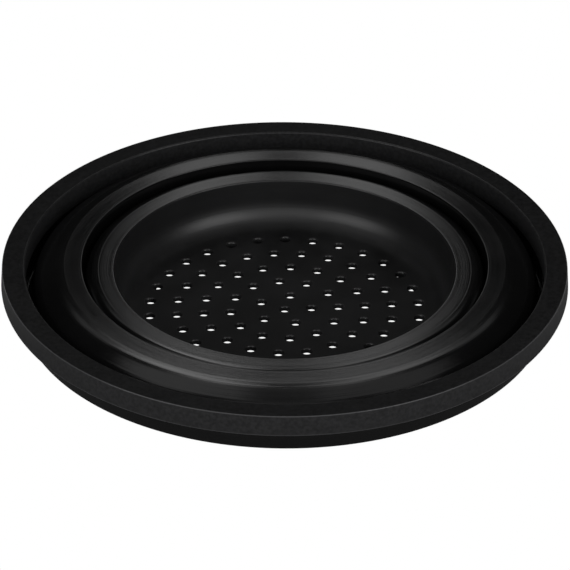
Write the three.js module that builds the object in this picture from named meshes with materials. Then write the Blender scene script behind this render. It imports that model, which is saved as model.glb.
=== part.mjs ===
// Collapsible colander, folded flat: three stiff silicone tiers joined by two thin folds.
// Millimetres, +Z up. The origin is on the axis, on the surface that the feet stand on.
import * as THREE from 'three';

const { degToRad } = THREE.MathUtils;

// Drain holes: one in the middle, and rings of them a pitch apart
const HOLE_RADIUS = 2.1;
const HOLE_PITCH = 11.5;
const FIRST_RING_HOLES = 5;
const HOLES_PER_STEP = 6; // each further ring holds six times its number
const HOLE_PHASE = degToRad(5.9);
const HOLE_MARGIN = 0.5; // flat base left at least outside the outermost holes

// Bowl: the inner tier, from its flat base up to its crest
const BASE_THICKNESS = 2.2;
const BOWL_DEPTH = 21.4;
const BOWL_WALL = 2;
const BOWL_FILLET_RUN = 10.8; // the round corner is a quarter ellipse
const BOWL_FILLET_RISE = 12;
const BOWL_CREST_WIDTH = 7.2;
const BOWL_CREST_THICKNESS = 2.6;
const BOWL_CREST_ROUND = 1.6; // soft inner edge of the crest

// Feet: pads on arcs round the base
const FOOT_COUNT = 5;
const FOOT_HEIGHT = 3.8;
const FOOT_WIDTH = 4.8;
const FOOT_ARC = degToRad(37);
const FOOT_PHASE = degToRad(29);
const FOOT_MARGIN = 0.2; // flat underside left on both sides of a foot

// Middle tier, whose crest stands above the bowl's crest
const MIDDLE_CREST_STEP = 2.6;
const MIDDLE_WALL = 2.8;
const MIDDLE_CREST_WIDTH = 8.2;
const MIDDLE_CREST_THICKNESS = 2.8;

// Rim tier: a square rim, level with the middle crest, a hoop in its underside and a wall below
const RIM_DIAMETER = 240; // the width of the whole, at the rim's lower edge
const RIM_DRAFT = 0.6; // how far the rim's outer face leans in towards its top
const RIM_CAP = 4.2; // silicone above the hoop's channel
const RIM_LIP = 2; // silicone outside the channel
const RIM_LEDGE = 3; // silicone between the channel and the outer wall
const HOOP_WIDTH = 2.4;
const HOOP_HEIGHT = 5;
const OUTER_WALL = 2.2;
const OUTER_WALL_DROP = 10.9; // both outer tiers reach down to this far below the rim

// Folds: thin S-shaped rings that turn inside out when a tier is pulled up
const INNER_FOLD_SPAN = 6.5; // from the bowl's crest to the middle wall
const INNER_FOLD_THICKNESS = 1.2;
const OUTER_FOLD_SPAN = 15.9; // from the middle crest to the outer wall
const OUTER_FOLD_THICKNESS = 1.3;
const FOLD_CREST_TILT = degToRad(28); // how steeply a fold leaves the crest
const FOLD_CREST_REACH = 1; // lengths of the curve's two handles, as shares of its span
const FOLD_WALL_REACH = 0.25;

// Shared values
const CLEARANCE = 0.3; // gap between two pieces that meet along a curved face
const EDGE = 0.5; // eased edge
const RING_SEGMENTS = 60;
const HOLE_SEGMENTS = 8;
const FOOT_SEGMENTS = 4;
const FOLD_STEPS = 6;
const FILLET_STEPS = 5;
const CORNER_STEPS = 3;
const CREST_STEPS = 2;

// Radii, worked out from the rim inwards
const rimOuter = RIM_DIAMETER / 2;
const channelOuter = rimOuter - RIM_LIP;
const hoopOuter = channelOuter - CLEARANCE;
const hoopInner = hoopOuter - HOOP_WIDTH;
const channelInner = hoopInner - CLEARANCE;
const outerWallOuter = channelInner - RIM_LEDGE;
const rimInner = outerWallOuter - OUTER_WALL;
const middleCrestOuter = rimInner - OUTER_FOLD_SPAN;
const middleInner = middleCrestOuter - MIDDLE_CREST_WIDTH;
const middleOuter = middleInner + MIDDLE_WALL;
const bowlCrestOuter = middleInner - INNER_FOLD_SPAN;
const bowlInner = bowlCrestOuter - BOWL_CREST_WIDTH;
const bowlOuter = bowlInner + BOWL_WALL;
const bowlStart = bowlInner - BOWL_FILLET_RUN;
const footInner = bowlStart + FOOT_MARGIN;
const footOuter = footInner + FOOT_WIDTH;
const basePlateRadius = bowlStart - CLEARANCE;
const holeRings = Math.floor((basePlateRadius - HOLE_MARGIN - HOLE_RADIUS) / HOLE_PITCH);

// Heights, worked out from the floor upwards and from the rim's top downwards
const baseTop = FOOT_HEIGHT + BASE_THICKNESS;
const bowlTop = baseTop + BOWL_DEPTH;
const bowlCrestUnder = bowlTop - BOWL_CREST_THICKNESS;
const middleTop = bowlTop + MIDDLE_CREST_STEP;
const middleCrestUnder = middleTop - MIDDLE_CREST_THICKNESS;
const rimTop = middleTop;
const channelTop = rimTop - RIM_CAP;
const hoopTop = channelTop - CLEARANCE;
const rimBottom = hoopTop - HOOP_HEIGHT;
const outerWallBottom = rimBottom - OUTER_WALL_DROP;
const middleBottom = outerWallBottom;

// Points of a quarter ellipse, as [radius, height] corners of a section
function quarter([radius, height], [run, rise], startAngle, clockwise, steps) {
  const endAngle = startAngle + (clockwise ? -Math.PI / 2 : Math.PI / 2);
  const curve = new THREE.EllipseCurve(radius, height, run, rise, startAngle, endAngle, clockwise);
  return curve.getPoints(steps).map((point) => [point.x, point.y]);
}

// A ribbon of even thickness along an S, cut upright at the crest and level at the wall
function foldSection(crestRadius, crestHeight, wallRadius, wallHeight, thickness) {
  const span = wallRadius - crestRadius;
  const crest = new THREE.Vector2(crestRadius, crestHeight);
  const wall = new THREE.Vector2(wallRadius, wallHeight);
  const slope = new THREE.Vector2(Math.cos(FOLD_CREST_TILT), -Math.sin(FOLD_CREST_TILT));
  const crestHandle = crest.clone().addScaledVector(slope, FOLD_CREST_REACH * span);
  const wallHandle = new THREE.Vector2(wallRadius - FOLD_WALL_REACH * span, wallHeight);
  const curve = new THREE.CubicBezierCurve(crest, crestHandle, wallHandle, wall);
  const level = new THREE.Vector2(1, 0);
  const underside = [];
  const upperside = [];
  for (let step = 0; step <= FOLD_STEPS; step += 1) {
    const point = curve.getPoint(step / FOLD_STEPS);
    const along = step === 0 ? level : curve.getTangent(step / FOLD_STEPS);
    const across = new THREE.Vector2(-along.y, along.x).multiplyScalar(thickness / 2);
    underside.push([point.x - across.x, point.y - across.y]);
    upperside.push([point.x + across.x, point.y + across.y]);
  }
  return [...underside, ...upperside.reverse()];
}

// A closed section of [radius, height] corners, counter-clockwise, turned about the Z axis
function turned(section) {
  const corners = [...section, section[0]];
  const profile = corners.map(([radius, height]) => new THREE.Vector2(radius, height));
  return new THREE.LatheGeometry(profile, RING_SEGMENTS).rotateX(Math.PI / 2);
}

function circlePoints(x, y, radius, count) {
  return Array.from({ length: count }, (_, index) => {
    const angle = (index / count) * 2 * Math.PI;
    return new THREE.Vector2(x + radius * Math.cos(angle), y + radius * Math.sin(angle));
  });
}

function holeCentres() {
  const centres = [[0, 0]];
  for (let ring = 1; ring <= holeRings; ring += 1) {
    const radius = HOLE_PITCH * ring;
    const count = ring === 1 ? FIRST_RING_HOLES : HOLES_PER_STEP * ring;
    for (let index = 0; index < count; index += 1) {
      const angle = HOLE_PHASE + (index / count) * 2 * Math.PI;
      centres.push([radius * Math.cos(angle), radius * Math.sin(angle)]);
    }
  }
  return centres;
}

function basePlateGeometry() {
  const plate = new THREE.Shape(circlePoints(0, 0, basePlateRadius, RING_SEGMENTS));
  plate.holes = holeCentres().map(([x, y]) => {
    return new THREE.Path(circlePoints(x, y, HOLE_RADIUS, HOLE_SEGMENTS));
  });
  return new THREE.ExtrudeGeometry(plate, { depth: BASE_THICKNESS, bevelEnabled: false });
}

function bowlWallSection() {
  const corner = bowlOuter - footOuter - FOOT_MARGIN;
  const cornerCentre = [bowlOuter - corner, FOOT_HEIGHT + corner];
  const crestRadii = [BOWL_CREST_ROUND, BOWL_CREST_ROUND];
  const crestCentre = [bowlInner + BOWL_CREST_ROUND, bowlTop - BOWL_CREST_ROUND];
  const filletCentre = [bowlStart, baseTop + BOWL_FILLET_RISE];
  return [
    [bowlStart, FOOT_HEIGHT],
    ...quarter(cornerCentre, [corner, corner], -Math.PI / 2, false, CORNER_STEPS),
    [bowlOuter, bowlCrestUnder],
    [bowlCrestOuter, bowlCrestUnder],
    [bowlCrestOuter, bowlTop],
    ...quarter(crestCentre, crestRadii, Math.PI / 2, false, CREST_STEPS),
    ...quarter(filletCentre, [BOWL_FILLET_RUN, BOWL_FILLET_RISE], 0, true, FILLET_STEPS),
  ];
}

function footGeometry() {
  const outline = new THREE.Shape();
  outline.absarc(0, 0, footOuter, -FOOT_ARC / 2, FOOT_ARC / 2, false);
  outline.absarc(0, 0, footInner, FOOT_ARC / 2, -FOOT_ARC / 2, true);
  const settings = { depth: FOOT_HEIGHT, bevelEnabled: false, curveSegments: FOOT_SEGMENTS };
  return new THREE.ExtrudeGeometry(outline, settings);
}

const middleWallSection = [
  [middleInner, middleBottom],
  [middleOuter, middleBottom],
  [middleOuter, middleCrestUnder],
  [middleCrestOuter, middleCrestUnder],
  [middleCrestOuter, middleTop],
  [middleInner + EDGE, middleTop],
  [middleInner, middleTop - EDGE],
];

const outerWallSection = [
  [rimInner, outerWallBottom],
  [outerWallOuter - EDGE, outerWallBottom],
  [outerWallOuter, outerWallBottom + EDGE],
  [outerWallOuter, rimBottom],
  [rimInner, rimBottom],
];

const rimSection = [
  [rimInner, rimBottom],
  [channelInner, rimBottom],
  [channelInner, channelTop],
  [channelOuter, channelTop],
  [channelOuter, rimBottom],
  [rimOuter - EDGE, rimBottom],
  [rimOuter, rimBottom + EDGE],
  [rimOuter - RIM_DRAFT, rimTop - EDGE],
  [rimOuter - RIM_DRAFT - EDGE, rimTop],
  [rimInner + EDGE, rimTop],
  [rimInner, rimTop - EDGE],
];

const hoopSection = [
  [hoopInner, rimBottom],
  [hoopOuter, rimBottom],
  [hoopOuter, hoopTop],
  [hoopInner, hoopTop],
];

const innerFoldSection = foldSection(
  bowlCrestOuter + CLEARANCE,
  bowlTop - INNER_FOLD_THICKNESS / 2,
  middleInner - CLEARANCE,
  middleBottom + INNER_FOLD_THICKNESS / 2,
  INNER_FOLD_THICKNESS,
);

const outerFoldSection = foldSection(
  middleCrestOuter + CLEARANCE,
  middleTop - OUTER_FOLD_THICKNESS / 2,
  rimInner - CLEARANCE,
  outerWallBottom + OUTER_FOLD_THICKNESS / 2,
  OUTER_FOLD_THICKNESS,
);

// Finishes
const satinSilicone = { color: 0x171718, roughness: 0.55, metalness: 0 };
const mattSilicone = { color: 0x131314, roughness: 0.75, metalness: 0 };
const hoopSteel = { color: 0x9a9da0, roughness: 0.35, metalness: 1 };

const colander = new THREE.Group();

function addPiece(name, geometry, finish) {
  const piece = new THREE.Mesh(geometry, new THREE.MeshStandardMaterial(finish));
  piece.name = name;
  colander.add(piece);
  return piece;
}

addPiece('rim', turned(rimSection), mattSilicone);
addPiece('rim_hoop', turned(hoopSection), hoopSteel);
addPiece('outer_wall', turned(outerWallSection), satinSilicone);
addPiece('outer_fold', turned(outerFoldSection), satinSilicone);
addPiece('middle_wall', turned(middleWallSection), satinSilicone);
addPiece('inner_fold', turned(innerFoldSection), satinSilicone);
addPiece('bowl_wall', turned(bowlWallSection()), satinSilicone);

const basePlate = addPiece('base_plate', basePlateGeometry(), satinSilicone);
basePlate.position.z = FOOT_HEIGHT;

for (let index = 0; index < FOOT_COUNT; index += 1) {
  const foot = addPiece(`foot_${index + 1}`, footGeometry(), satinSilicone);
  foot.rotation.z = FOOT_PHASE + (index / FOOT_COUNT) * 2 * Math.PI;
}

export default colander;
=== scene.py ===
"""A round collapsible colander of black silicone, folded flat on a white floor.

Metres, +Z up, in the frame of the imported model. Each ring is drawn as a section in the XZ plane,
with its corners rounded, and spun about the Z axis.
"""
import math
from typing import NamedTuple

import bmesh
import bpy
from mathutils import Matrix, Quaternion, Vector
from mathutils.geometry import interpolate_bezier


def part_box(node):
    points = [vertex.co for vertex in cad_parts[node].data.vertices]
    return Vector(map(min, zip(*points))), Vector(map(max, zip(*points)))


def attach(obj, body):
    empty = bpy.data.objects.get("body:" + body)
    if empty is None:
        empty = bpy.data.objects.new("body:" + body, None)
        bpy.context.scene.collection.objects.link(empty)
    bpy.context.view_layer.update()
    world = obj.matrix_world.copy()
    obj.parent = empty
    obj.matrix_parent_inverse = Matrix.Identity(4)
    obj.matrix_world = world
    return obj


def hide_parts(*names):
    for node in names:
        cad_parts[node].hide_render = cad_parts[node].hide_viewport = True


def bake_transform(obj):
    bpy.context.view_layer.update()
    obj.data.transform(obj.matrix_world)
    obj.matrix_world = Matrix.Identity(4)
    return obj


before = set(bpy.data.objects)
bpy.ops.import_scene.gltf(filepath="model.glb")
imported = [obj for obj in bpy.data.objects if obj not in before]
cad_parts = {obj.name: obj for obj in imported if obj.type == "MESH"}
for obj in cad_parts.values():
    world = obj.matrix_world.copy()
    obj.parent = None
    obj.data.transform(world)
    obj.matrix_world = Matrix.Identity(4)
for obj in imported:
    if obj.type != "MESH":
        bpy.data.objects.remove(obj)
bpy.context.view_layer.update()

# Camera: the photograph's view, found from the ellipses of the rim and the crests
PHOTO_PIXELS = 570
FOCAL_PIXELS = 4259
SENSOR_WIDTH = 36  # millimetres
CAMERA_DISTANCE = 1.8
CAMERA_ELEVATION = math.radians(31.36)
CAMERA_ROLL = math.radians(0.33)
AIM_BELOW_RIM = 0.012
AIM_RIGHT = 0.00014

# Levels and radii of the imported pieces, which the dressed ones keep
CLEARANCE = 0.0003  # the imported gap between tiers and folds, which the dressed pieces close
RIM_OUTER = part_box("rim")[1].x
RIM_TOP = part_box("rim")[1].z
RIM_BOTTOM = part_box("rim")[0].z
RIM_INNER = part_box("outer_fold")[1].x + CLEARANCE
HOOP_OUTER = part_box("rim_hoop")[1].x
HOOP_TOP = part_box("rim_hoop")[1].z
OUTER_WALL_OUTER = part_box("outer_wall")[1].x
OUTER_WALL_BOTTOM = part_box("outer_wall")[0].z
MIDDLE_CREST_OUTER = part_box("middle_wall")[1].x
MIDDLE_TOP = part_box("middle_wall")[1].z
MIDDLE_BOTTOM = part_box("middle_wall")[0].z
MIDDLE_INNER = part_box("inner_fold")[1].x + CLEARANCE
BOWL_CREST_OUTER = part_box("bowl_wall")[1].x
BOWL_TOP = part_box("bowl_wall")[1].z
BASE_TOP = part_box("base_plate")[1].z
BASE_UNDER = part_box("base_plate")[0].z
SEAM_GAP = CLEARANCE / 3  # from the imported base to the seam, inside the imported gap
BASE_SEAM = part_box("base_plate")[1].x + SEAM_GAP  # where the base runs into the bowl's wall

# Walls and roundings
HOOP_WIDTH = 0.0024
MIDDLE_WALL = 0.0028
MIDDLE_CREST_THICKNESS = 0.0028
BOWL_WALL = 0.002
BOWL_CREST_WIDTH = 0.0072
BOWL_CREST_THICKNESS = 0.0026
BOWL_CREST_ROUND = 0.0008
BOWL_FILLET_RUN = 0.0108
BOWL_FILLET_RISE = 0.012
BOWL_UNDER_ROUND = 0.0076
DULL_HEIGHT = 0.004  # how far up the bowl's corner the base's dull finish runs out
RIM_DRAFT = 0.0006
RIM_EDGE = 0.0005
RIM_INNER_EDGE = 0.0009
RIM_UNDER_EDGE = 0.0013
TIER_EDGE = 0.0005
FINE_EDGE = 0.00025
INSIDE_CORNER = 0.0008

# Folds, whose middle line is a round shoulder, a straight flank and a cubic curve, level at the wall
INNER_FOLD_THICKNESS = 0.0012
OUTER_FOLD_THICKNESS = 0.0013
FOLD_SHOULDER = 0.65  # radius of the shoulder, as a share of the fold's span
FOLD_CREST_TILT = math.radians(31)  # where the shoulder ends
FOLD_FLANK = 0.25  # length of the flank, as a share of the fold's span
FOLD_CREST_REACH = 1.0  # of the curve's handle at the flank, as a share of the run left to the wall
FOLD_WALL_REACH = 0.25  # of the curve's handle at the wall, as a share of the fold's span
CREASE_INSET = 0.0004  # where the outer fold's shoulder leaves the crest, inside its outer edge
CREASE_DEPTH = 0.00015

# Drain holes and feet
HOLE_RADIUS = 0.0021
HOLE_PITCH = 0.0115  # from ring to ring
HOLES_PER_RING = (5, 12, 18, 24, 30)
HOLE_PHASE = math.radians(5.9)
HOLE_DRAFT = 0.0002  # how much narrower a hole is at the bottom
HOLE_LIP = 0.0007
HOLE_UNDER_LIP = 0.0003
HOLE_FLAT = 0.001  # from the hole's wall to the flat of the base
FOOT_INNER = 0.0606
FOOT_OUTER = 0.0662
FOOT_ARC = math.radians(34)
FOOT_PHASE = math.radians(27)
FOOT_COUNT = 5
FOOT_EDGE = 0.0006

# Fineness of the meshes
RING_STEPS = 192
ARC_STEPS = 5
FILLET_STEPS = 16
FOLD_STEPS = 28
HOLE_STEPS = 28
FOOT_STEPS = 14
FOOT_EDGE_STEPS = 3
WELD = 1e-6
SEED_SIZE = 0.001  # of the plane that is merged into a section's first point
SMOOTH_ANGLE = math.radians(40)

# Finishes
WHITE = (1, 1, 1, 1)
BLUE_SHARE = 1.03  # of the greys, which are faintly blue
RELIEF = 0.0001  # depth of the grain and the turned lines
HOOP_RELIEF = 0.00005
COAT_ROUGHNESS = 0.25

# Floor and studio
FLOOR_SIZE = 8.0
FLOOR_GLOW = 0.9  # how bright the floor looks to the colander, away from it
FLOOR_SHADE = 0.12  # and under it
FLOOR_SHADE_RADIUS = 0.14
FLOOR_CLEAR_RADIUS = 0.165
STUDIO_RADIUS = 0.9
WORLD_STRENGTH = 0.01


class Corner(NamedTuple):
    """A corner of a section: its radius from the axis, its height and how far it is rounded."""

    radius: float
    height: float
    rounding: float = 0.0


def add_camera():
    rim_centre = Vector((0, 0, RIM_TOP))
    towards = Vector((0, -math.cos(CAMERA_ELEVATION), math.sin(CAMERA_ELEVATION)))
    place = rim_centre + CAMERA_DISTANCE * towards
    aim = rim_centre + Vector((AIM_RIGHT, 0, -AIM_BELOW_RIM))
    bpy.ops.object.camera_add(location=place)
    camera = bpy.context.object
    camera.data.sensor_width = SENSOR_WIDTH
    camera.data.lens = SENSOR_WIDTH * FOCAL_PIXELS / PHOTO_PIXELS
    turn = (aim - place).to_track_quat("-Z", "Y") @ Quaternion((0, 0, 1), CAMERA_ROLL)
    camera.rotation_euler = turn.to_euler()
    bpy.context.scene.camera = camera


def select_open_edges(piece, level):
    """Selects the edges at one height that only one face uses, in edit mode."""
    bpy.ops.mesh.select_all(action="DESELECT")
    mesh = bmesh.from_edit_mesh(piece.data)
    for edge in mesh.edges:
        if edge.is_boundary and all(abs(end.co.z - level) < WELD for end in edge.verts):
            edge.select_set(True)
    bmesh.update_edit_mesh(piece.data)


def draw_section(name, corners, closed=True):
    """Extrudes a wire from corner to corner in the XZ plane and rounds it; stays in edit mode."""
    bpy.ops.object.select_all(action="DESELECT")
    first = corners[0]
    bpy.ops.mesh.primitive_plane_add(size=SEED_SIZE, location=(first.radius, 0, first.height))
    piece = bpy.context.object
    piece.name = name
    bpy.ops.object.transform_apply(location=True)
    bpy.ops.object.mode_set(mode="EDIT")
    bpy.ops.mesh.merge(type="CENTER")
    route = corners + corners[:1] if closed else corners
    for here, there in zip(route, route[1:]):
        step = (there.radius - here.radius, 0, there.height - here.height)
        bpy.ops.mesh.extrude_region_move(TRANSFORM_OT_translate={"value": step})
    bpy.ops.mesh.select_all(action="SELECT")
    bpy.ops.mesh.remove_doubles(threshold=WELD)
    for corner in corners:
        if corner.rounding:
            round_corner(piece, corner)
    return piece


def round_corner(piece, corner):
    """Selects the vertex at a corner of the section in edit mode and rounds it."""
    place = Vector((corner.radius, 0, corner.height))
    mesh = bmesh.from_edit_mesh(piece.data)
    for vertex in mesh.verts:
        vertex.select_set((vertex.co - place).length < WELD)
    mesh.select_flush_mode()
    bmesh.update_edit_mesh(piece.data)
    bpy.ops.mesh.bevel(
        offset=corner.rounding,
        offset_type="ABSOLUTE",
        segments=ARC_STEPS,
        profile=0.5,
        affect="VERTICES",
    )


def spin_section(angle=math.tau, steps=RING_STEPS):
    """Spins the section in edit mode about the Z axis and goes back to object mode."""
    bpy.ops.mesh.select_all(action="SELECT")
    bpy.ops.mesh.spin(steps=steps, angle=angle, use_auto_merge=True, center=(0, 0, 0), axis=(0, 0, 1))
    close_mesh()


def close_mesh():
    """Welds the mesh in edit mode, turns its faces outward and goes back to object mode."""
    bpy.ops.mesh.select_all(action="SELECT")
    bpy.ops.mesh.remove_doubles(threshold=WELD)
    bpy.ops.mesh.normals_make_consistent(inside=False)
    bpy.ops.object.mode_set(mode="OBJECT")


def apply_modifier(piece, kind, **settings):
    bpy.ops.object.modifier_add(type=kind)
    modifier = piece.modifiers[-1]
    for setting, value in settings.items():
        setattr(modifier, setting, value)
    bpy.ops.object.modifier_apply(modifier=modifier.name)


def smooth_shading(piece):
    """Smooth across roundings, with the flats beside them kept flat."""
    bpy.ops.object.shade_smooth_by_angle(angle=SMOOTH_ANGLE)
    apply_modifier(piece, "WEIGHTED_NORMAL", keep_sharp=True)


def duplicate(piece):
    bpy.ops.object.select_all(action="DESELECT")
    piece.select_set(True)
    bpy.ops.object.duplicate()
    return bpy.context.selected_objects[0]


def make_ring(name, corners):
    piece = draw_section(name, corners)
    spin_section()
    smooth_shading(piece)
    return piece


def make_rim():
    hoop_inner = HOOP_OUTER - HOOP_WIDTH
    return make_ring("rim_moulding", [
        Corner(RIM_INNER, RIM_BOTTOM),
        Corner(hoop_inner, RIM_BOTTOM),
        Corner(hoop_inner, HOOP_TOP),
        Corner(HOOP_OUTER, HOOP_TOP),
        Corner(HOOP_OUTER, RIM_BOTTOM),
        Corner(RIM_OUTER, RIM_BOTTOM, RIM_UNDER_EDGE),
        Corner(RIM_OUTER - RIM_DRAFT, RIM_TOP, RIM_EDGE),
        Corner(RIM_INNER, RIM_TOP, RIM_INNER_EDGE),
    ])


def make_hoop():
    hoop_inner = HOOP_OUTER - HOOP_WIDTH
    return make_ring("rim_stiffening_hoop", [
        Corner(hoop_inner, RIM_BOTTOM, FINE_EDGE),
        Corner(HOOP_OUTER, RIM_BOTTOM, FINE_EDGE),
        Corner(HOOP_OUTER, HOOP_TOP),
        Corner(hoop_inner, HOOP_TOP),
    ])


def make_outer_wall():
    return make_ring("outer_tier_wall", [
        Corner(RIM_INNER, OUTER_WALL_BOTTOM),
        Corner(OUTER_WALL_OUTER, OUTER_WALL_BOTTOM, FINE_EDGE),
        Corner(OUTER_WALL_OUTER, RIM_BOTTOM),
        Corner(RIM_INNER, RIM_BOTTOM),
    ])


def make_middle_wall():
    wall_outer = MIDDLE_INNER + MIDDLE_WALL
    crest_under = MIDDLE_TOP - MIDDLE_CREST_THICKNESS
    crease = MIDDLE_CREST_OUTER - CREASE_INSET
    return make_ring("middle_tier_wall", [
        Corner(MIDDLE_INNER, MIDDLE_BOTTOM),
        Corner(wall_outer, MIDDLE_BOTTOM, TIER_EDGE),
        Corner(wall_outer, crest_under, INSIDE_CORNER),
        Corner(crease, crest_under),
        Corner(crease, MIDDLE_TOP - CREASE_DEPTH),
        Corner(crease - CREASE_DEPTH, MIDDLE_TOP),
        Corner(MIDDLE_INNER, MIDDLE_TOP, TIER_EDGE),
    ])


def make_bowl_wall():
    wall_inner = BOWL_CREST_OUTER - BOWL_CREST_WIDTH
    wall_outer = wall_inner + BOWL_WALL
    crest_under = BOWL_TOP - BOWL_CREST_THICKNESS
    fillet_start = wall_inner - BOWL_FILLET_RUN
    fillet = []
    for step in range(FILLET_STEPS + 1):
        angle = math.pi / 2 * (1 - step / FILLET_STEPS)
        radius = fillet_start + BOWL_FILLET_RUN * math.sin(angle)
        height = BASE_TOP + BOWL_FILLET_RISE * (1 - math.cos(angle))
        fillet.append(Corner(radius, height))
    return make_ring("bowl_tier_wall", [
        Corner(BASE_SEAM, BASE_UNDER),
        Corner(wall_outer, BASE_UNDER, BOWL_UNDER_ROUND),
        Corner(wall_outer, crest_under, INSIDE_CORNER),
        Corner(BOWL_CREST_OUTER, crest_under),
        Corner(BOWL_CREST_OUTER, BOWL_TOP),
        Corner(wall_inner, BOWL_TOP, BOWL_CREST_ROUND),
        *fillet,
        Corner(BASE_SEAM, BASE_TOP),
    ])


def make_fold(name, crest, wall, thickness):
    """A thin ring along an S from the crest's edge down to the next tier's wall."""
    span = wall.radius - crest.radius
    shoulder = FOLD_SHOULDER * span
    middle_line = []
    for step in range(ARC_STEPS):
        tilt = FOLD_CREST_TILT * step / ARC_STEPS
        run = shoulder * math.sin(tilt)
        drop = shoulder * (1 - math.cos(tilt))
        middle_line.append(Corner(crest.radius + run, crest.height - drop))
    slope = Vector((math.cos(FOLD_CREST_TILT), 0, -math.sin(FOLD_CREST_TILT)))
    flank = Vector((crest.radius, 0, crest.height)) + shoulder * Vector((-slope.z, 0, slope.x - 1))
    start = flank + FOLD_FLANK * span * slope
    end = Vector((wall.radius, 0, wall.height))
    crest_handle = start + FOLD_CREST_REACH * (end.x - start.x) * slope
    wall_handle = end - Vector((FOLD_WALL_REACH * span, 0, 0))
    curve = interpolate_bezier(start, crest_handle, wall_handle, end, FOLD_STEPS + 1)
    middle_line += [Corner(point.x, point.z) for point in [flank, *curve]]
    piece = draw_section(name, middle_line, closed=False)
    spin_section()
    apply_modifier(piece, "SOLIDIFY", thickness=thickness, offset=0, use_even_offset=True)
    smooth_shading(piece)
    return piece


def make_outer_fold():
    half = OUTER_FOLD_THICKNESS / 2
    crest = Corner(MIDDLE_CREST_OUTER - CREASE_INSET, MIDDLE_TOP - half)
    wall = Corner(RIM_INNER, OUTER_WALL_BOTTOM + half)
    return make_fold("outer_fold_ring", crest, wall, OUTER_FOLD_THICKNESS)


def make_inner_fold():
    half = INNER_FOLD_THICKNESS / 2
    crest = Corner(BOWL_CREST_OUTER, BOWL_TOP - half)
    wall = Corner(MIDDLE_INNER, MIDDLE_BOTTOM + half)
    return make_fold("inner_fold_ring", crest, wall, INNER_FOLD_THICKNESS)


def hole_centres():
    """One hole in the middle, and rings of holes round it."""
    centres = [(0, 0)]
    for ring, count in enumerate(HOLES_PER_RING, start=1):
        radius = ring * HOLE_PITCH
        for index in range(count):
            angle = HOLE_PHASE + math.tau * index / count
            centres.append((radius * math.cos(angle), radius * math.sin(angle)))
    return centres


def make_hole_liner():
    """The wall of the middle hole, with a rounded lip at each end."""
    liner = draw_section("base_sieve", [
        Corner(HOLE_RADIUS + HOLE_FLAT, BASE_TOP),
        Corner(HOLE_RADIUS, BASE_TOP, HOLE_LIP),
        Corner(HOLE_RADIUS - HOLE_DRAFT, BASE_UNDER, HOLE_UNDER_LIP),
        Corner(HOLE_RADIUS + HOLE_FLAT, BASE_UNDER),
    ], closed=False)
    spin_section(steps=HOLE_STEPS)
    return liner


def make_base():
    """The perforated base: hole walls copied from the first, and both faces filled in between."""
    liner = make_hole_liner()
    parts = [liner]
    for x, y in hole_centres()[1:]:
        copy = duplicate(liner)
        copy.location = (x, y, 0)
        parts.append(copy)
    bpy.ops.object.select_all(action="DESELECT")
    bpy.ops.mesh.primitive_circle_add(vertices=RING_STEPS, radius=BASE_SEAM, location=(0, 0, BASE_TOP))
    edge = bpy.context.object
    bpy.ops.object.mode_set(mode="EDIT")
    drop = (0, 0, BASE_UNDER - BASE_TOP)
    bpy.ops.mesh.extrude_region_move(TRANSFORM_OT_translate={"value": drop})
    bpy.ops.object.mode_set(mode="OBJECT")
    for part in [*parts, edge]:
        part.select_set(True)
    bpy.context.view_layer.objects.active = liner
    bpy.ops.object.join()
    bpy.ops.object.mode_set(mode="EDIT")
    for level in (BASE_TOP, BASE_UNDER):
        select_open_edges(liner, level)
        bpy.ops.mesh.fill(use_beauty=True)
    close_mesh()
    smooth_shading(liner)
    return liner


def make_feet():
    """Low pads on arcs under the edge of the base; one is modelled, and copied round the axis.

    A spin by a positive angle turns the section clockwise, so half an arc is added.
    """
    pad = draw_section("foot_pad_1", [
        Corner(FOOT_INNER, 0),
        Corner(FOOT_OUTER, 0),
        Corner(FOOT_OUTER, BASE_UNDER),
        Corner(FOOT_INNER, BASE_UNDER),
    ])
    bpy.ops.mesh.select_all(action="SELECT")
    bpy.ops.mesh.edge_face_add()
    bpy.ops.mesh.spin(steps=FOOT_STEPS, angle=FOOT_ARC, center=(0, 0, 0), axis=(0, 0, 1))
    close_mesh()
    apply_modifier(pad, "BEVEL", width=FOOT_EDGE, segments=FOOT_EDGE_STEPS, limit_method="ANGLE")
    smooth_shading(pad)
    pads = [pad]
    for index in range(1, FOOT_COUNT):
        copy = duplicate(pad)
        copy.name = f"foot_pad_{index + 1}"
        pads.append(copy)
    for index, copy in enumerate(pads):
        copy.rotation_euler.z = FOOT_PHASE + math.tau * index / FOOT_COUNT + FOOT_ARC / 2
        bpy.ops.object.select_all(action="DESELECT")
        copy.select_set(True)
        bpy.context.view_layer.objects.active = copy
        bpy.ops.object.transform_apply(rotation=True)
    return pads


class Wire:
    """An output socket of a finish. Arithmetic on it adds Math nodes."""

    def __init__(self, finish, socket):
        self.finish = finish
        self.socket = socket

    def __getitem__(self, output):
        return Wire(self.finish, self.socket.node.outputs[output])

    def combine(self, operation, first, second):
        return self.finish.node("ShaderNodeMath", {"operation": operation}, {0: first, 1: second})

    def __add__(self, other):
        return self.combine("ADD", self, other)

    __radd__ = __add__

    def __mul__(self, other):
        return self.combine("MULTIPLY", self, other)

    __rmul__ = __mul__

    def __pow__(self, other):
        return self.combine("POWER", self, other)


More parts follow.
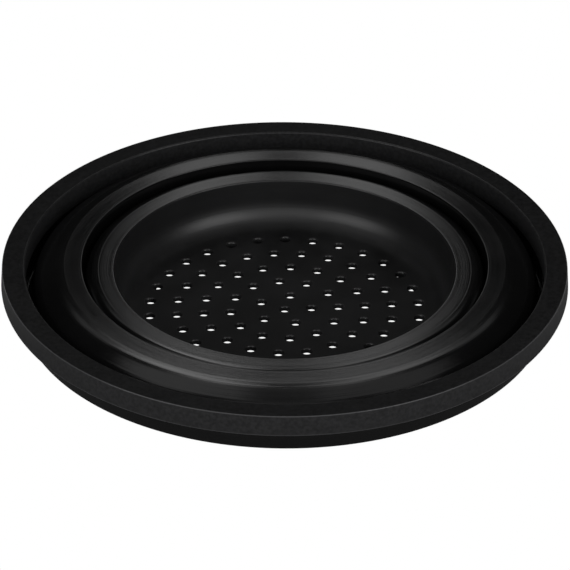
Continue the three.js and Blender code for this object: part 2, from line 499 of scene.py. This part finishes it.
class Finish:
    """A node material. Its methods add nodes, and most return the output of the last as a wire."""

    def __init__(self, name):
        self.material = bpy.data.materials.new(name)
        self.material.use_nodes = True
        self.tree = self.material.node_tree
        self.tree.nodes.clear()

    def node(self, kind, settings=None, sockets=None):
        """Adds a node, makes its settings, feeds its sockets and returns its first output."""
        node = self.tree.nodes.new(kind)
        for setting, value in (settings or {}).items():
            setattr(node, setting, value)
        for key, value in (sockets or {}).items():
            socket = self.input_of(node, key)
            if isinstance(value, Wire):
                self.tree.links.new(value.socket, socket)
            else:
                socket.default_value = value
        outputs = [socket for socket in node.outputs if socket.enabled]
        return Wire(self, outputs[0]) if outputs else None

    def input_of(self, node, key):
        if isinstance(key, int):
            return node.inputs[key]
        return next(socket for socket in node.inputs if socket.enabled and socket.name == key)

    def noise(self, place, scale, detail, dimensions="3D"):
        settings = {"noise_dimensions": dimensions}
        sockets = {"Vector": place, "Scale": scale, "Detail": detail}
        return self.node("ShaderNodeTexNoise", settings, sockets)

    def ramp(self, value, start, end):
        """Rises from 0 to 1 as the value goes from start to end."""
        limits = {"Value": value, "From Min": start, "From Max": end, "To Min": 0, "To Max": 1}
        return self.node("ShaderNodeMapRange", {"interpolation_type": "SMOOTHSTEP"}, limits)

    def near(self, place, point, reach):
        """1 at the point, falling to 0 at the reach."""
        settings = {"operation": "DISTANCE"}
        gap = self.node("ShaderNodeVectorMath", settings, {0: place, 1: point})
        return self.ramp(gap, reach, 0)

    def mix_colours(self, factor, first, second):
        settings = {"data_type": "RGBA"}
        return self.node("ShaderNodeMix", settings, {"Factor": factor, "A": first, "B": second})

    def bump(self, height, strength, depth):
        sockets = {"Height": height, "Strength": strength, "Distance": depth}
        return self.node("ShaderNodeBump", {}, sockets)

    def shader(self, **sockets):
        """A Principled shader: specular_ior_level feeds its input Specular IOR Level, and so on."""
        names = [key.replace("_", " ").title().replace("Ior", "IOR") for key in sockets]
        return self.node("ShaderNodeBsdfPrincipled", {}, dict(zip(names, sockets.values())))

    def surface(self, shader):
        """Ends the material with a shader and returns it."""
        self.node("ShaderNodeOutputMaterial", {}, {"Surface": shader})
        return self.material


def grey(level):
    return (level, level, level * BLUE_SHARE, 1)


def turned_coordinates(finish):
    """Object place, radius from the axis, and (radius, height) for lines that run round it."""
    place = finish.node("ShaderNodeTexCoord")["Object"]
    axes = finish.node("ShaderNodeSeparateXYZ", {}, {"Vector": place})
    radius = (axes["X"] ** 2 + axes["Y"] ** 2) ** 0.5
    round_axis = finish.node("ShaderNodeCombineXYZ", {}, {"X": radius, "Y": axes["Z"]})
    return place, radius, round_axis


def height_of(finish, place):
    return finish.node("ShaderNodeSeparateXYZ", {}, {"Vector": place})["Z"]


def dull_shader(finish, place, gloss):
    """The dull black of the base's face, with a clear coat where the gloss is 1."""
    bloom = finish.ramp(finish.noise(place, scale=60, detail=6), start=0.3, end=0.7)
    grain = finish.noise(place, scale=2600, detail=2)
    return finish.shader(
        base_color=finish.mix_colours(bloom, grey(0.002), grey(0.01)),
        specular_ior_level=0.12,
        roughness=0.6 + 0.15 * bloom,
        coat_weight=gloss,
        coat_roughness=COAT_ROUGHNESS,
        normal=finish.bump(grain, strength=0.1, depth=RELIEF),
    )


def satin_body_silicone():
    """Black silicone with the fine lines of a turned mould, painted paler inside the bowl as painted
    light, dull where it runs into the base.
    """
    finish = Finish("satin_body_silicone")
    place, from_axis, round_axis = turned_coordinates(finish)
    low = finish.ramp(height_of(finish, place), BASE_TOP + DULL_HEIGHT, BASE_TOP)
    bowl_inner = BOWL_CREST_OUTER - BOWL_CREST_WIDTH
    inside = finish.ramp(from_axis, bowl_inner + BOWL_CREST_ROUND, bowl_inner)
    lines = finish.noise(round_axis, scale=2600, detail=2, dimensions="2D")
    bands = finish.noise(round_axis, scale=850, detail=3, dimensions="2D")
    bloom = finish.noise(place, scale=55, detail=5)
    grain = finish.noise(place, scale=5200, detail=2)
    fold_colour = finish.mix_colours(bloom, grey(0.002), grey(0.005))
    # painted light: inside the bowl the silicone is coloured paler than on the folds, standing in for
    # the light that falls on its inner wall; low in the corner it gives way to the base's dull colour
    painted_lit_inside_colour = finish.mix_colours(bloom, grey(0.01), grey(0.017))
    relief = 0.8 * lines + 0.9 * bands + 0.2 * grain
    satin = finish.shader(
        base_color=finish.mix_colours(inside, fold_colour, painted_lit_inside_colour),
        roughness=0.08 + 0.08 * bands + 0.08 * bloom + 0.2 * inside,
        normal=finish.bump(relief, strength=0.35, depth=RELIEF),
    )
    dull = dull_shader(finish, place, gloss=0)
    return finish.surface(finish.node("ShaderNodeMixShader", {}, {0: low, 1: satin, 2: dull}))


def matt_base_silicone():
    """The duller black of the perforated base, with glossy lips on its holes."""
    finish = Finish("matt_base_silicone")
    place = finish.node("ShaderNodeTexCoord")["Object"]
    height = height_of(finish, place)
    below_face = finish.ramp(height, BASE_TOP, BASE_TOP - HOLE_LIP / 4)
    above_wall = finish.ramp(height, BASE_TOP - 2 * HOLE_LIP, BASE_TOP - HOLE_LIP)
    return finish.surface(dull_shader(finish, place, gloss=below_face * above_wall))


def matt_rim_silicone():
    """The rim's duller black, with a fine speckle, its sides painted paler as painted light, its outer
    top and bottom edges painted pale as painted highlights, and gloss on its edges.
    """
    finish = Finish("matt_rim_silicone")
    place, from_axis, round_axis = turned_coordinates(finish)
    speckle = finish.ramp(finish.noise(place, scale=650, detail=5), start=0.25, end=0.75)
    bloom = finish.noise(place, scale=60, detail=4)
    tint = 0.7 * speckle + 0.3 * bloom
    top_colour = finish.mix_colours(tint, grey(0.001), grey(0.015))
    # painted light: the rim's inner and outer sides are coloured paler than its top, standing in for
    # the light that falls on them
    painted_lit_side_colour = finish.mix_colours(tint, grey(0.012), grey(0.028))
    # painted highlight: a pale colour for the outer top edge and the bottom edge, standing in for the
    # bright lines that light draws on their roundings
    painted_highlight_edge_colour = grey(0.08)
    outside = finish.ramp(from_axis, RIM_OUTER - RIM_DRAFT - RIM_EDGE, RIM_OUTER - RIM_DRAFT)
    inside = finish.ramp(from_axis, RIM_INNER + RIM_EDGE, RIM_INNER)
    colour = finish.mix_colours(outside + inside, top_colour, painted_lit_side_colour)
    inner_edge = finish.near(round_axis, (RIM_INNER, RIM_TOP, 0), RIM_INNER_EDGE)
    outer_edge = finish.near(round_axis, (RIM_OUTER - RIM_DRAFT, RIM_TOP, 0), RIM_EDGE)
    under_edge = finish.near(round_axis, (RIM_OUTER, RIM_BOTTOM, 0), RIM_UNDER_EDGE)
    # painted highlight along the outer top edge and the bottom edge
    colour = finish.mix_colours(outer_edge + under_edge, colour, painted_highlight_edge_colour)
    matt = finish.shader(
        base_color=colour,
        specular_ior_level=0.06,
        roughness=0.5 + 0.15 * speckle,
        coat_weight=inner_edge + outer_edge + under_edge,
        coat_roughness=COAT_ROUGHNESS,
        normal=finish.bump(speckle, strength=0.2, depth=RELIEF),
    )
    return finish.surface(matt)


def drawn_hoop_steel():
    """Plain steel, with drawing lines along the hoop."""
    finish = Finish("drawn_hoop_steel")
    place, _, round_axis = turned_coordinates(finish)
    lines = finish.noise(round_axis, scale=5000, detail=3, dimensions="2D")
    stains = finish.noise(place, scale=90, detail=4)
    colour = finish.mix_colours(stains, grey(0.42), grey(0.6))
    steel = finish.shader(
        base_color=colour,
        metallic=1,
        roughness=0.24 + 0.16 * lines,
        normal=finish.bump(lines, strength=0.2, depth=HOOP_RELIEF),
    )
    return finish.surface(steel)


def white_floor():
    """The plain white that the camera sees."""
    finish = Finish("white_floor")
    glow = finish.node("ShaderNodeEmission", {}, {"Color": WHITE, "Strength": 1})
    return finish.surface(glow)


def shaded_floor():
    """The glowing floor that the colander reflects, in place of a lit floor, with a painted shadow
    close to it.
    """
    finish = Finish("shaded_floor")
    _, radius, _ = turned_coordinates(finish)
    # painted shadow: the glow is dimmed under and close to the colander
    clear = finish.ramp(radius, FLOOR_SHADE_RADIUS, FLOOR_CLEAR_RADIUS)
    strength = FLOOR_SHADE + (FLOOR_GLOW - FLOOR_SHADE) * clear
    glow = finish.node("ShaderNodeEmission", {}, {"Color": WHITE, "Strength": strength})
    return finish.surface(glow)


def add_floor(name, material, seen):
    """A floor that either only the camera sees or only the colander does."""
    bpy.ops.object.select_all(action="DESELECT")
    bpy.ops.mesh.primitive_plane_add(size=FLOOR_SIZE, location=(0, 0, 0))
    floor = bpy.context.object
    floor.name = name
    floor.data.materials.append(material)
    floor.visible_camera = seen
    floor.visible_diffuse = not seen
    floor.visible_glossy = not seen
    floor.visible_shadow = False


def add_panel(name, place, size, radiance):
    """A flat light that faces the middle of the rim; the size is its width and height."""
    width, height = size
    bpy.ops.object.light_add(type="AREA", location=place)
    panel = bpy.context.object
    panel.name = name
    panel.data.shape = "RECTANGLE"
    panel.data.size = width
    panel.data.size_y = height
    panel.data.energy = radiance * math.pi * width * height
    aim = Vector((0, 0, RIM_TOP)) - Vector(place)
    panel.rotation_euler = aim.to_track_quat("-Z", "Y").to_euler()


def studio_place(azimuth, elevation):
    """A place round the colander, in degrees; the azimuth is 0 behind it and grows to the right."""
    turn = math.radians(azimuth)
    rise = math.radians(elevation)
    level = STUDIO_RADIUS * math.cos(rise)
    return (level * math.sin(turn), level * math.cos(turn), STUDIO_RADIUS * math.sin(rise))


def add_studio():
    """Panels placed by what the crests, folds and corners of the colander show of them."""
    add_panel("left_back_strip", (-0.041, 0.45, 0.265), size=(0.06, 0.17), radiance=0.9)
    add_panel("right_back_strip", (0.04, 0.45, 0.265), size=(0.06, 0.17), radiance=1)
    add_panel("back_high_panel", studio_place(0, 47), size=(0.2, 0.16), radiance=0.6)
    add_panel("right_shoulder_panel", studio_place(11, 48), size=(0.16, 0.2), radiance=0.95)
    add_panel("left_shoulder_panel", studio_place(349, 48), size=(0.16, 0.2), radiance=1.5)
    add_panel("right_corner_panel", studio_place(36, 46), size=(0.22, 0.2), radiance=0.35)
    add_panel("left_corner_panel", studio_place(324, 46), size=(0.22, 0.2), radiance=0.35)
    add_panel("overhead_panel", studio_place(180, 88), size=(0.4, 0.4), radiance=0.22)
    add_panel("right_back_panel", studio_place(25, 63), size=(0.2, 0.38), radiance=1.5)
    add_panel("left_back_panel", studio_place(335, 63), size=(0.2, 0.38), radiance=2.6)
    add_panel("right_softbox", studio_place(132, 27), size=(0.6, 0.58), radiance=2.5)
    add_panel("left_softbox", studio_place(228, 26), size=(0.6, 0.54), radiance=2.2)
    add_panel("front_panel", studio_place(180, 23), size=(0.7, 0.62), radiance=1.0)
    add_panel("front_high_panel", studio_place(180, 58), size=(0.6, 0.34), radiance=0.5)
    add_panel("right_high_panel", studio_place(92, 66), size=(0.4, 0.46), radiance=0.4)
    add_panel("left_high_panel", studio_place(268, 66), size=(0.4, 0.46), radiance=0.65)
    world = bpy.data.worlds.new("studio")
    world.use_nodes = True
    backdrop = world.node_tree.nodes["Background"]
    backdrop.inputs["Color"].default_value = WHITE
    backdrop.inputs["Strength"].default_value = WORLD_STRENGTH
    scene = bpy.context.scene
    scene.world = world
    scene.view_settings.view_transform = "Standard"


def dress(piece, node, material):
    """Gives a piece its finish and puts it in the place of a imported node."""
    piece.data.materials.append(material)
    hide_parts(node)


def add_colander():
    """Every piece, with its node, the body that it rides on, its finish and its slot."""
    satin = satin_body_silicone()
    riding = [
        (make_rim(), "rim", "rim", matt_rim_silicone(), "rim_silicone"),
        (make_hoop(), "rim_hoop", "rim", drawn_hoop_steel(), "hoop_steel"),
        (make_outer_wall(), "outer_wall", "rim", satin, "body_silicone"),
        (make_middle_wall(), "middle_wall", "middle", satin, "body_silicone"),
        (make_bowl_wall(), "bowl_wall", "base", satin, "body_silicone"),
        (make_base(), "base_plate", "base", matt_base_silicone(), "body_silicone"),
    ]
    for index, pad in enumerate(make_feet(), start=1):
        riding.append((pad, f"foot_{index}", "base", satin, "body_silicone"))
    for piece, node, body, material, slot in riding:
        dress(piece, node, material)
        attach(piece, body)
    outer_fold = make_outer_fold()
    dress(outer_fold, "outer_fold", satin)
    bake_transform(outer_fold)
    inner_fold = make_inner_fold()
    dress(inner_fold, "inner_fold", satin)
    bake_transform(inner_fold)


add_camera()
add_colander()
add_floor("white_floor", white_floor(), seen=True)
add_floor("shaded_floor", shaded_floor(), seen=False)
add_studio()
